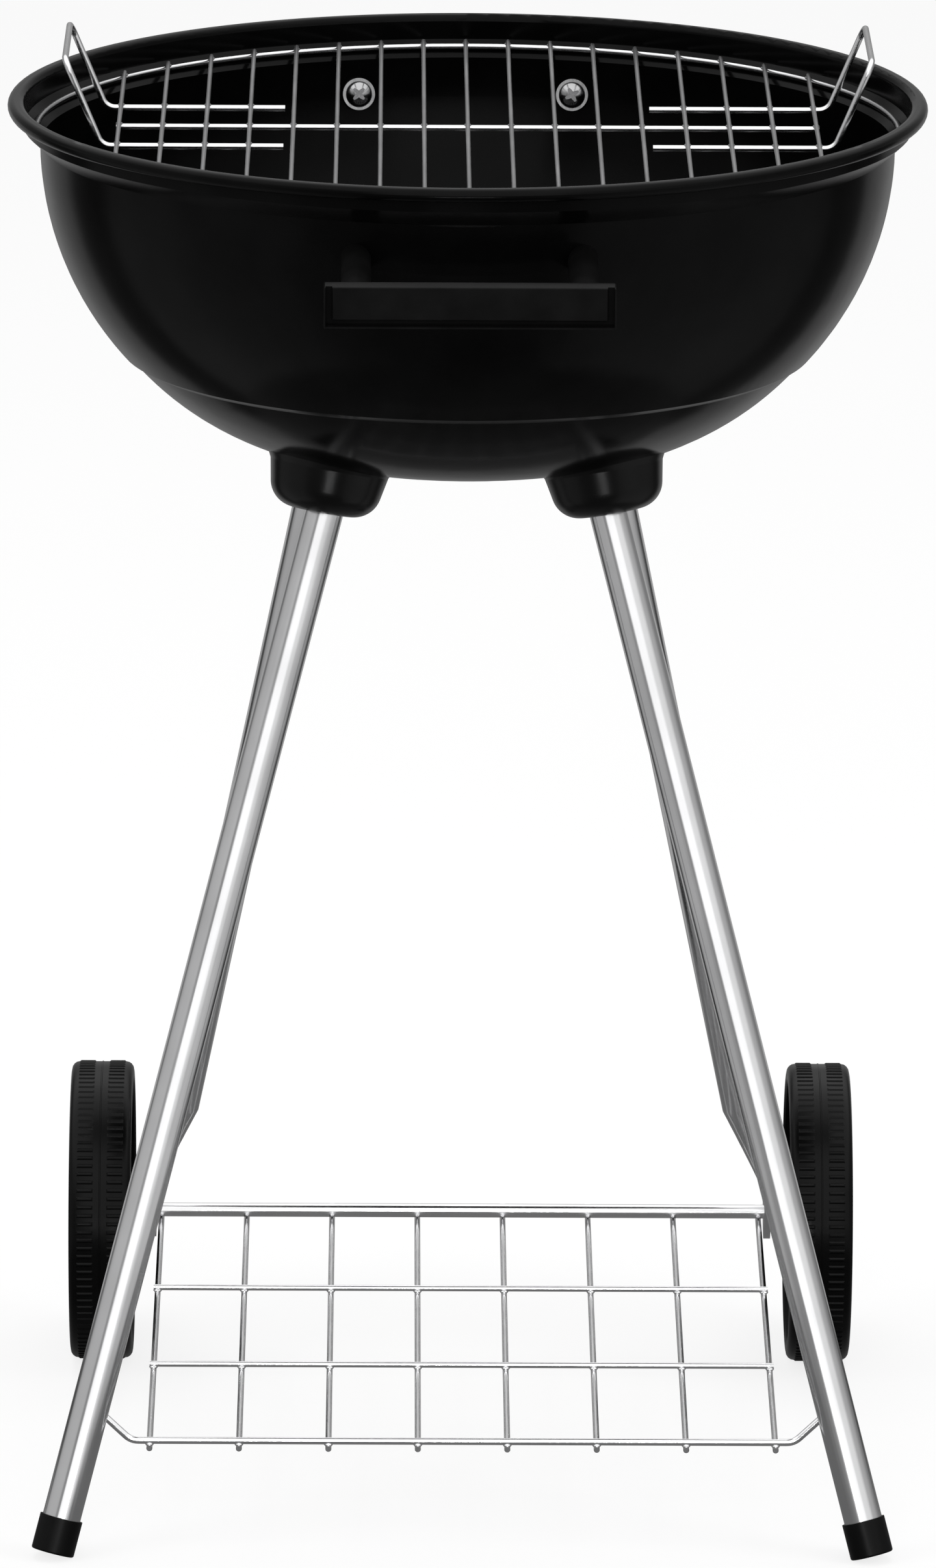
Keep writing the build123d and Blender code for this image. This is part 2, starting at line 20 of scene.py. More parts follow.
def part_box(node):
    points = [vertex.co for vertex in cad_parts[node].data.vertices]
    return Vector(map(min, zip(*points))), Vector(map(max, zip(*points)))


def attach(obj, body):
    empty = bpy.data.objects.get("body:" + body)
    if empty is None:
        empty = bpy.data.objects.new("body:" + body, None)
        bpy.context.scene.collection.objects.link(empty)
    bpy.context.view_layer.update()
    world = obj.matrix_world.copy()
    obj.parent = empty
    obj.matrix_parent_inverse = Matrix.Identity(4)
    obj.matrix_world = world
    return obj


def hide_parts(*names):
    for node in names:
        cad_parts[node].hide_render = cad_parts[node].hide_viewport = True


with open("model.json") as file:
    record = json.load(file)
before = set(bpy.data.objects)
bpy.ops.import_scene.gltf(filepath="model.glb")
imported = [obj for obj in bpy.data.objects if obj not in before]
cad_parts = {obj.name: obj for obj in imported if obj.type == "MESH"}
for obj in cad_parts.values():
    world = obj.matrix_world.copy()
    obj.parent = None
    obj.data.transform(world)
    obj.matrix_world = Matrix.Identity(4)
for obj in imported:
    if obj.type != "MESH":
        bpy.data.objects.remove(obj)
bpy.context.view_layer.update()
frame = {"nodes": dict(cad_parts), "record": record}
LOG = logging.getLogger("grill")
Piece = bpy.types.Object
Finish = bpy.types.Material
Socket = bpy.types.NodeSocket
Element = bmesh.types.BMFace | bmesh.types.BMEdge
Point = tuple[float, float, float]
Span = tuple[float, float]
Stops = tuple[Span, ...]
MM = 0.001
HAIR = 0.01 * MM  # points closer than this count as one
ACROSS, DEEP, UP = Vector((1, 0, 0)), Vector((0, 1, 0)), Vector((0, 0, 1))


class Body(Enum):
    """Moving bodies of the grill."""

    STAND = "stand"
    WHEEL_LEFT = "wheel_left"
    WHEEL_RIGHT = "wheel_right"
    COOKING_GRATE = "cooking_grate"
    CHARCOAL_GRATE = "charcoal_grate"


class Slot(Enum):
    """Material slots of the record."""

    ENAMEL = "black_enamel"
    SOCKET = "socket_black"
    TUBE = "bright_tube"
    FOOT = "foot_black"
    WHEEL = "wheel_black"
    CAP = "cap_steel"
    AXLE = "axle_steel"
    RACK = "rack_wire"
    HANDLE = "handle_black"
    SCREW = "screw_steel"
    PLUG = "plug_steel"
    ROD = "rod_steel"
    GRATE = "grate_wire"
    COAL = "coal_steel"


class Side(Enum):
    """Left and right as signs along X, seen from the front."""

    LEFT = -1
    RIGHT = 1


class End(Enum):
    """Front and rear as signs along Y."""

    FRONT = -1
    REAR = 1


class Pick(Enum):
    """Kinds of mesh element that can be picked."""

    FACE = "faces"
    EDGE = "edges"


class Joint(Enum):
    """Ways to combine two pieces."""

    UNITE = "UNION"
    CARVE = "DIFFERENCE"


class Nodes:
    """Node tree under construction."""

    # A Mix node has a set of sockets for each kind of data; these are the ones for colours.
    mix_share, mix_colours, mix_result = 0, (6, 7), 2

    def __init__(self, tree: bpy.types.NodeTree) -> None:
        """Takes the tree to add nodes to."""
        self.tree = tree

    def add(self, kind: str, **settings: object) -> bpy.types.Node:
        """Adds a node.

        Args:
            kind: Blender's type name of the node.
            **settings: Attributes to set on it.

        Returns:
            The new node.
        """
        node = self.tree.nodes.new(kind)
        for name, value in settings.items():
            setattr(node, name, value)
        return node

    def link(self, start: Socket, end: Socket) -> None:
        """Links an output to an input."""
        self.tree.links.new(start, end)

    def ramp(self, value: Socket, stops: Stops, blue: float = 1.0) -> Socket:
        """Grey tones over a value.

        Args:
            value: Value from 0 to 1.
            stops: Places and tones in rising order.
            blue: Factor on the blue channel.

        Returns:
            The tone as a colour.
        """
        node = self.add("ShaderNodeValToRGB")
        elements = node.color_ramp.elements
        while len(elements) < len(stops):
            elements.new(1.0)
        for element, (place, tone) in zip(elements, stops):
            element.position = place
            element.color = (tone, tone, tone * blue, 1)
        self.link(value, node.inputs["Fac"])
        return node.outputs["Color"]

    def round_about(self, way: Socket) -> Socket:
        """Bearing of a direction about the upright axis.

        Args:
            way: The direction.

        Returns:
            The bearing from 0 to 1, 0.25 for the front and rising to the right.
        """
        node = self.add("ShaderNodeTexGradient", gradient_type="RADIAL")
        self.link(way, node.inputs["Vector"])
        return node.outputs["Fac"]

    def mix(self, share: Socket, first: Socket | float, second: Socket | float) -> Socket:
        """Mixes two tones.

        Args:
            share: Share of the second tone.
            first: The tone where the share is 0.
            second: The tone where the share is 1.

        Returns:
            The mixed colour.
        """
        node = self.add("ShaderNodeMix", data_type="RGBA")
        self.link(share, node.inputs[self.mix_share])
        for place, tone in zip(self.mix_colours, (first, second)):
            if isinstance(tone, float):
                node.inputs[place].default_value = (tone, tone, tone, 1)
            else:
                self.link(tone, node.inputs[place])
        return node.outputs[self.mix_result]

    def glow(self, strength: float, colour: Socket | None = None) -> Socket:
        """Light given off by a surface.

        Args:
            strength: Its strength.
            colour: Its colour, white if left out.

        Returns:
            The glowing surface.
        """
        node = self.add("ShaderNodeEmission")
        node.inputs["Strength"].default_value = strength
        if colour is not None:
            self.link(colour, node.inputs["Color"])
        return node.outputs["Emission"]

    def blend(self, share: Socket | float, first: Socket, second: Socket) -> Socket:
        """Blends two surfaces.

        Args:
            share: Share of the second surface.
            first: The surface where the share is 0.
            second: The surface where the share is 1.

        Returns:
            The blended surface.
        """
        node = self.add("ShaderNodeMixShader")
        if isinstance(share, float):
            node.inputs["Fac"].default_value = share
        else:
            self.link(share, node.inputs["Fac"])
        self.link(first, node.inputs[1])
        self.link(second, node.inputs[2])
        return node.outputs["Shader"]


class Shader(Nodes):
    """One node material under construction, read on the piece's Object coordinates."""

    noise_low, noise_high = 0.3, 0.7
    # Heights of the normal at which upward faces start to gain painted top light, and gain it in full.
    level_from, level_full = 0.98, 0.995

    def __init__(self, name: str) -> None:
        """Starts a material with a Principled shader.

        Args:
            name: Name of the material.
        """
        self.material = bpy.data.materials.new(name)
        self.material.use_nodes = True
        super().__init__(self.material.node_tree)
        self.surface = self.tree.nodes["Principled BSDF"]
        self.place = self.add("ShaderNodeTexCoord").outputs["Object"]
        self.normal: Socket | None = None

    def fix(self, **values: object) -> None:
        """Sets plain values on the surface's own sockets, underscores in the names standing for spaces."""
        for name, value in values.items():
            self.surface.inputs[name.replace("_", " ")].default_value = value

    def feed(self, value: Socket, name: str) -> None:
        """Links a value into one of the surface's inputs."""
        self.link(value, self.surface.inputs[name])

    def along(self, axis: Vector, across: float, lengthwise: float) -> Socket:
        """Coordinates turned so that their Z runs along an axis, and scaled.

        Args:
            axis: Direction that the pattern follows.
            across: Scale of the pattern across the axis.
            lengthwise: Scale of the pattern along the axis.

        Returns:
            The turned and scaled coordinates.
        """
        node = self.add("ShaderNodeMapping", vector_type="TEXTURE")
        turn = UP.rotation_difference(axis.normalized())
        node.inputs["Rotation"].default_value = turn.to_euler()
        node.inputs["Scale"].default_value = (1 / across, 1 / across, 1 / lengthwise)
        self.link(self.place, node.inputs["Vector"])
        return node.outputs["Vector"]

    def noise(self, scale: float, detail: float = 3.0, place: Socket | None = None) -> Socket:
        """Noise over the surface.

        Args:
            scale: Cells per metre, or per unit of the given coordinates.
            detail: Octaves of finer noise.
            place: Coordinates to read, the object's own if left out.

        Returns:
            A value mostly between noise_low and noise_high.
        """
        node = self.add("ShaderNodeTexNoise")
        node.inputs["Scale"].default_value = scale
        node.inputs["Detail"].default_value = detail
        self.link(place or self.place, node.inputs["Vector"])
        return node.outputs["Fac"]

    def spread(self, value: Socket, low: float, high: float) -> Socket:
        """Maps a noise value onto a range.

        Args:
            value: Noise to map.
            low: Result where the noise is low.
            high: Result where the noise is high.

        Returns:
            The mapped value.
        """
        node = self.add("ShaderNodeMapRange")
        node.inputs["From Min"].default_value = self.noise_low
        node.inputs["From Max"].default_value = self.noise_high
        node.inputs["To Min"].default_value = low
        node.inputs["To Max"].default_value = high
        self.link(value, node.inputs["Value"])
        return node.outputs["Result"]

    def grey(self, value: Socket, dark: float, light: float, blue: float = 1.0) -> Socket:
        """Colours a noise value from a dark grey to a light grey.

        Args:
            value: Noise to colour.
            dark: Grey where the noise is low.
            light: Grey where the noise is high.
            blue: Factor on the blue channel.

        Returns:
            The colour.
        """
        return self.ramp(value, ((self.noise_low, dark), (self.noise_high, light)), blue)

    def add_painted_top_light(self, colour: Socket, painted_top_light: float) -> Socket:
        """Lightens a colour on the faces that look up: painted light from above.

        Args:
            colour: Colour of the surface without the painted light.
            painted_top_light: Grey that level faces gain.

        Returns:
            The lightened colour.
        """
        parts = self.add("ShaderNodeSeparateXYZ")
        self.link(self.add("ShaderNodeNewGeometry").outputs["Normal"], parts.inputs["Vector"])
        gain = self.ramp(parts.outputs["Z"], ((self.level_from, 0.0), (self.level_full, painted_top_light)))
        total = self.add("ShaderNodeVectorMath", operation="ADD")
        self.link(colour, total.inputs[0])
        self.link(gain, total.inputs[1])
        return total.outputs["Vector"]

    def painted_groove_shade(self, colour: Socket, reach: float) -> Socket:
        """Darkens a colour down in grooves with ambient occlusion: painted shade.

        Args:
            colour: Colour of the open surface.
            reach: How far off a groove's wall the painted shade still darkens.

        Returns:
            The darkened colour.
        """
        node = self.add("ShaderNodeAmbientOcclusion", samples=8, only_local=True)
        node.inputs["Distance"].default_value = reach
        self.link(colour, node.inputs["Color"])
        return node.outputs["Color"]

    def bump(self, height: Socket, strength: float, depth: float) -> None:
        """Adds a layer of relief on top of those added before.

        Args:
            height: Height pattern.
            strength: Share of the relief that shows.
            depth: Depth of the relief in metres.
        """
        node = self.add("ShaderNodeBump")
        node.inputs["Strength"].default_value = strength
        node.inputs["Distance"].default_value = depth
        self.link(height, node.inputs["Height"])
        if self.normal is not None:
            self.link(self.normal, node.inputs["Normal"])
        self.normal = node.outputs["Normal"]
        self.feed(self.normal, "Normal")


@dataclass(frozen=True)
class Enamel:
    """Glossy fired enamel with a faint orange-peel skin and soft smudges."""

    name: str
    tones: Span = (0.0012, 0.0024)
    rough: Span = (0.13, 0.20)
    mirror: float = 0.07
    cloud: float = 35.0
    smudge: float = 9.0
    peel: float = 420.0
    peel_strength: float = 0.10
    peel_depth: float = 0.06 * MM
    swell: float = 55.0
    swell_strength: float = 0.08
    swell_depth: float = 0.25 * MM

    def material(self) -> Finish:
        """Builds the finish.

        Returns:
            The material.
        """
        shader = Shader(self.name)
        shader.fix(Specular_IOR_Level=self.mirror)
        shader.feed(shader.grey(shader.noise(self.cloud, detail=4.0), *self.tones), "Base Color")
        shader.feed(shader.spread(shader.noise(self.smudge, detail=5.0), *self.rough), "Roughness")
        shader.bump(shader.noise(self.peel, detail=2.0), self.peel_strength, self.peel_depth)
        shader.bump(shader.noise(self.swell, detail=2.0), self.swell_strength, self.swell_depth)
        return shader.material


@dataclass(frozen=True)
class Plating:
    """Bright plated steel with drawing lines along one axis and a slightly cloudy film."""

    name: str
    axis: Vector
    tones: Span
    rough: Span
    blue: float = 1.01
    cloud: float = 28.0
    lines: float = 900.0
    line_stretch: float = 90.0
    line_strength: float = 0.25
    line_depth: float = 0.02 * MM

    def material(self) -> Finish:
        """Builds the finish.

        Returns:
            The material.
        """
        shader = Shader(self.name)
        shader.fix(Metallic=1.0)
        drawn = shader.along(self.axis, self.lines, self.lines / self.line_stretch)
        lines = shader.noise(1.0, place=drawn)
        shader.feed(shader.grey(shader.noise(self.cloud, detail=4.0), *self.tones, self.blue), "Base Color")
        shader.feed(shader.spread(lines, *self.rough), "Roughness")
        shader.bump(lines, self.line_strength, self.line_depth)
        return shader.material


@dataclass(frozen=True)
class Moulding:
    """Moulded black plastic with a fine grain and a cloudy sheen, painted shade in its grooves and, where set,
    painted light on its upward faces.
    """

    name: str
    tones: Span
    rough: Span
    grain: float
    depth: float
    mirror: float
    # painted light: grey added to the colour of faces that look up
    painted_top_light: float = 0.0
    # reach of the painted shade that darkens the colour in grooves and between raised parts
    recess: float = 1.0 * MM
    cloud: float = 60.0
    sheen: float = 22.0
    grain_strength: float = 0.35

    def material(self) -> Finish:
        """Builds the finish.

        Returns:
            The material.
        """
        shader = Shader(self.name)
        shader.fix(Specular_IOR_Level=self.mirror)
        tone = shader.grey(shader.noise(self.cloud, detail=5.0), *self.tones)
        # the base colour carries painted light on upward faces and painted shade in grooves
        shader.feed(shader.painted_groove_shade(shader.add_painted_top_light(tone, self.painted_top_light), self.recess), "Base Color")
        shader.feed(shader.spread(shader.noise(self.sheen, detail=5.0), *self.rough), "Roughness")
        shader.bump(shader.noise(self.grain), self.grain_strength, self.depth)
        return shader.material


class Bench:
    """Modelling moves on one piece at a time, made with Blender's operators."""

    @staticmethod
    def clear() -> None:
        """Leaves edit mode and deselects everything."""
        if bpy.context.mode != "OBJECT":
            bpy.ops.object.mode_set(mode="OBJECT")
        bpy.ops.object.select_all(action="DESELECT")

    @staticmethod
    def take(piece: Piece) -> None:
        """Makes one piece the only selected and active one.

        Args:
            piece: The piece to work on.
        """
        Bench.clear()
        piece.select_set(True)
        bpy.context.view_layer.objects.active = piece

    @staticmethod
    def named(name: str) -> Piece:
        """Names the piece that an operator has just added.

        Args:
            name: Name for the object and its mesh.

        Returns:
            The active piece.
        """
        piece = bpy.context.active_object
        piece.name = name
        piece.data.name = name
        return piece

    @staticmethod
    @contextmanager
    def editing(piece: Piece) -> Iterator[None]:
        """Edit mode on a piece, with nothing selected at first.

        Args:
            piece: The piece to edit.

        Yields:
            Nothing; edit mode holds inside the block.
        """
        Bench.take(piece)
        bpy.ops.object.mode_set(mode="EDIT")
        bpy.ops.mesh.select_all(action="DESELECT")
        yield
        bpy.ops.object.mode_set(mode="OBJECT")

    @staticmethod
    def pick(piece: Piece, kind: Pick, test: Callable[[Element], bool]) -> None:
        """Selects the faces or edges that pass a test, in edit mode.

        Args:
            piece: The piece in edit mode.
            kind: Faces or edges.
            test: Says whether one is wanted.
        """
        bpy.ops.mesh.select_mode(type=kind.name)
        mesh = bmesh.from_edit_mesh(piece.data)
        for element in getattr(mesh, kind.value):
            element.select_set(test(element))
        bmesh.update_edit_mesh(piece.data)

    @staticmethod
    def settle(piece: Piece) -> None:
        """Puts the object's place into its mesh."""
        Bench.take(piece)
        bpy.ops.object.transform_apply(location=True, rotation=True, scale=True)

    @staticmethod
    def combine(piece: Piece, other: Piece, joint: Joint) -> None:
        """Combines another piece with this one and removes it.

        Args:
            piece: The piece that is kept.
            other: The piece that is used up.
            joint: Whether it is fused on or cut out.
        """
        Bench.take(piece)
        step = piece.modifiers.new("combine", "BOOLEAN")
        step.operation = joint.value
        step.solver = "EXACT"
        step.object = other
        bpy.ops.object.modifier_apply(modifier=step.name)
        bpy.data.objects.remove(other)

    @staticmethod
    def repeat(piece: Piece, places: list[Matrix]) -> None:
        """Copies a piece to every place and joins the copies into it.

        Args:
            piece: The piece, modelled at the origin.
            places: Where each copy goes.
        """
        single = piece.data.copy()
        piece.data.transform(places[0])
        for place in places[1:]:
            copy = bpy.data.objects.new(piece.name, single.copy())
            copy.data.transform(place)
            bpy.context.collection.objects.link(copy)
            Bench.take(piece)
            copy.select_set(True)
            bpy.ops.object.join()

    @staticmethod
    def block(name: str, place: Vector, size: Point) -> Piece:
        """Plain block, to be shaped or to cut with.

        Args:
            name: Name of the piece.
            place: Its middle.
            size: Its three sizes.

        Returns:
            The block.
        """
        Bench.clear()
        bpy.ops.mesh.primitive_cube_add(size=1, location=place, scale=size)
        piece = Bench.named(name)
        Bench.settle(piece)
        return piece

    @staticmethod
    def spun(name: str, outline: list[Span], steps: int, place: Vector) -> Piece:
        """Turned piece: a closed outline spun about the X axis.

        Args:
            name: Name of the piece.
            outline: Corners as distance along X from the place and radius.
            steps: Segments round the axis.
            place: Point on the axis from which the outline is measured.

        Returns:
            The closed mesh piece with its normals outwards.
        """
        Bench.clear()
        bpy.ops.mesh.primitive_circle_add(vertices=len(outline))
        piece = Bench.named(name)
        for vertex, (along, radius) in zip(piece.data.vertices, outline):
            vertex.co = place + Vector((along, 0, radius))
        with Bench.editing(piece):
            bpy.ops.mesh.select_all(action="SELECT")
            bpy.ops.mesh.spin(steps=steps, angle=math.tau, center=place, axis=ACROSS)
            bpy.ops.mesh.select_all(action="SELECT")
            bpy.ops.mesh.remove_doubles(threshold=HAIR / 2)
            bpy.ops.mesh.normals_make_consistent(inside=False)
        return piece

    @staticmethod
    def hand_over(piece: Piece, body: Body, slot: Slot, finish: Finish, crease: float) -> None:
        """Shades a finished piece, dresses it and sets it on its body.

        Args:
            piece: The finished piece.
            body: The body that it moves with.
            slot: The record's slot that it belongs to; not used.
            finish: Its material.
            crease: Angle in degrees above which an edge stays sharp.
        """
        Bench.take(piece)
        bpy.ops.object.shade_smooth_by_angle(angle=math.radians(crease))
        piece.data.materials.clear()
        piece.data.materials.append(finish)
        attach(piece, body.value)
        LOG.info("%s: %d faces on %s", piece.name, len(piece.data.polygons), body.value)


@dataclass
class Wheel:
    """One moulded wheel: ribs along both sides of its tread, a seam, a recessed web with spokes and a long hub."""

    side: Side
    finish: Finish
    ribs: int = 112
    tread_width: float = 32.0 * MM
    tread_wall: float = 9.0 * MM
    shoulder: float = 4.0 * MM
    web: float = 10.0 * MM
    bend: float = 3.0 * MM
    edge: float = 1.0 * MM
    hub_length: float = 31.5 * MM
    hub_radius: float = 15.0 * MM
    bore: float = 3.68 * MM
    seam_height: float = 0.25 * MM
    seam_width: float = 0.9 * MM
    rib_height: float = 0.55 * MM
    rib_slope: float = 0.7 * MM
    rib_length: float = 8.5 * MM
    spokes: int = 8
    spoke_faces: int = 2
    spoke_height: float = 6.0 * MM
    crease: float = 32.0

    def outline(self, radius: float, hub_start: float) -> list[Span]:
        """Section of the wheel as distance out from the tread's inner side and radius.

        Args:
            radius: The wheel's outer radius.
            hub_start: Where the hub's inner end lies.

        Returns:
            Corners of the closed section, round from the hub's inner end.
        """
        width, shoulder, bend, edge = self.tread_width, self.shoulder, self.bend, self.edge
        crown = radius - self.rib_height
        seam_top = crown + self.seam_height
        rib_end = shoulder + self.rib_length
        inner = radius - self.tread_wall
        hub = self.hub_radius
        hub_end = hub_start + self.hub_length
        low = (width - self.web) / 2
        high = low + self.web
        middle = width / 2
        seam = self.seam_width / 2
        points = [(hub_start, self.bore), (hub_start, hub - edge), (hub_start + edge, hub)]
        points += self.bent((low - bend, hub + bend), bend, 270, 360)
        points += self.bent((low - bend, inner - bend), bend, 0, 90)
        points += [(edge, inner), (0.0, inner + edge)]
        points += self.bent((shoulder, crown - shoulder), shoulder, 180, 90)
        points += [(rib_end, crown), (middle - seam, crown)]
        points += [(middle - seam / 2, seam_top), (middle + seam / 2, seam_top)]
        points += [(middle + seam, crown), (width - rib_end, crown)]
        points += self.bent((width - shoulder, crown - shoulder), shoulder, 90, 0)
        points += [(width, inner + edge), (width - edge, inner)]
        points += self.bent((high + bend, inner - bend), bend, 90, 180)
        points += self.bent((high + bend, hub + bend), bend, 180, 270)
        points += [(hub_end - edge, hub), (hub_end, hub - edge), (hub_end, self.bore)]
        return points

    @staticmethod
    def bent(centre: Span, radius: float, start: float, stop: float, steps: int = 4) -> list[Span]:
        """Points of a rounded corner.

        Args:
            centre: Middle of the rounding.
            radius: Its radius.
            start: First angle in degrees.
            stop: Last angle in degrees.
            steps: Steps from the first point to the last.

        Returns:
            The points along the corner.
        """
        angles = [math.radians(start + (stop - start) * step / steps) for step in range(steps + 1)]
        return [(centre[0] + radius * math.cos(a), centre[1] + radius * math.sin(a)) for a in angles]

    def build(self) -> Piece:
        """Models the wheel in place of its CAD node.

        Returns:
            The finished wheel.
        """
        node = f"wheel_{self.side.name.lower()}"
        low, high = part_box(node)
        centre = (low + high) / 2
        radius = (high.z - low.z) / 2
        outward = self.side.value
        outside = high.x if self.side is Side.RIGHT else low.x
        start = Vector((outside - outward * self.tread_width, centre.y, centre.z))
        hub_start = self.tread_width - (high.x - low.x)
        outline = [(outward * along, reach) for along, reach in self.outline(radius, hub_start)]
        piece = Bench.spun(f"ribbed_{node}", outline, 2 * self.ribs, start)
        self.raise_ribs(piece, start, radius)
        self.raise_spokes(piece, start)
        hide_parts(node)
        Bench.hand_over(piece, Body(node), Slot.WHEEL, self.finish, self.crease)
        return piece

    def turn(self, point: Vector, start: Vector) -> float:
        """Angle of a point round the axle as a count of rib steps."""
        return math.atan2(point.y - start.y, point.z - start.z) / math.tau * 2 * self.ribs

    def raise_ribs(self, piece: Piece, start: Vector, radius: float) -> None:
        """Raises every second face along both sides of the tread to a narrow rib.

        Args:
            piece: The wheel.
            start: Middle of the tread's inner side.
            radius: The wheel's outer radius.
        """
        least = radius - self.tread_wall / 2
        row = self.shoulder + self.rib_length / 2

        def wanted(face: bmesh.types.BMFace) -> bool:
            """Whether a face is the foot of a rib.

            Args:
                face: A face of the wheel.

            Returns:
                True on every second face of the two rows.
            """
            middle = face.calc_center_median()
            along = abs(middle.x - start.x)
            on_tread = math.hypot(middle.y - start.y, middle.z - start.z) > least
            on_row = any(abs(along - place) < 10 * HAIR for place in (row, self.tread_width - row))
            return on_tread and on_row and math.floor(self.turn(middle, start)) % 2 == 0

        with Bench.editing(piece):
            Bench.pick(piece, Pick.FACE, wanted)
            bpy.ops.mesh.inset(thickness=self.rib_slope, depth=self.rib_height, use_individual=True)

    def raise_spokes(self, piece: Piece, start: Vector) -> None:
        """Raises narrow radial ribs on both faces of the web.

        Args:
            piece: The wheel.
            start: Middle of the tread's inner side.
        """
        step = 2 * self.ribs / self.spokes
        low = (self.tread_width - self.web) / 2
        for level, way in ((low, -1), (low + self.web, 1)):

            def wanted(face: bmesh.types.BMFace) -> bool:
                """Whether a face of the web lies under a spoke.

                Args:
                    face: A face of the wheel.

                Returns:
                    True on the few faces side by side that make a spoke's foot.
                """
                middle = face.calc_center_median()
                flat = all(abs(abs(v.co.x - start.x) - level) < HAIR for v in face.verts)
                place = math.floor(self.turn(middle, start) + self.spoke_faces / 2) % step
                return flat and place < self.spoke_faces

            with Bench.editing(piece):
                Bench.pick(piece, Pick.FACE, wanted)
                rise = (way * self.side.value * self.spoke_height, 0, 0)
                bpy.ops.mesh.extrude_region_move(TRANSFORM_OT_translate={"value": rise})


@dataclass
class BowlWall:
    """Outside of the bowl's upper wall, an arc in section."""

    centre_radius: float = 54.0 * MM
    arc: float = 158.0 * MM
    top: float = 675.5 * MM
    farthest: float = 200.0 * MM
    halvings: int = 40

    def radius(self, height: float) -> float:
        """Radius of the outside at a height."""
        return self.centre_radius + math.sqrt(self.arc**2 - (self.top - height) ** 2)

    def reach(self, start: Vector, way: Vector) -> float:
        """Distance from a point outside the bowl to its wall, found by halving.

        Args:
            start: The point.
            way: Unit direction towards the bowl.

        Returns:
            The distance along the direction.
        """
        near, far = 0.0, self.farthest
        for _ in range(self.halvings):
            middle = (near + far) / 2
            point = start + way * middle
            outside = math.hypot(point.x, point.y) > self.radius(point.z)
            near, far = (middle, far) if outside else (near, middle)
        return near


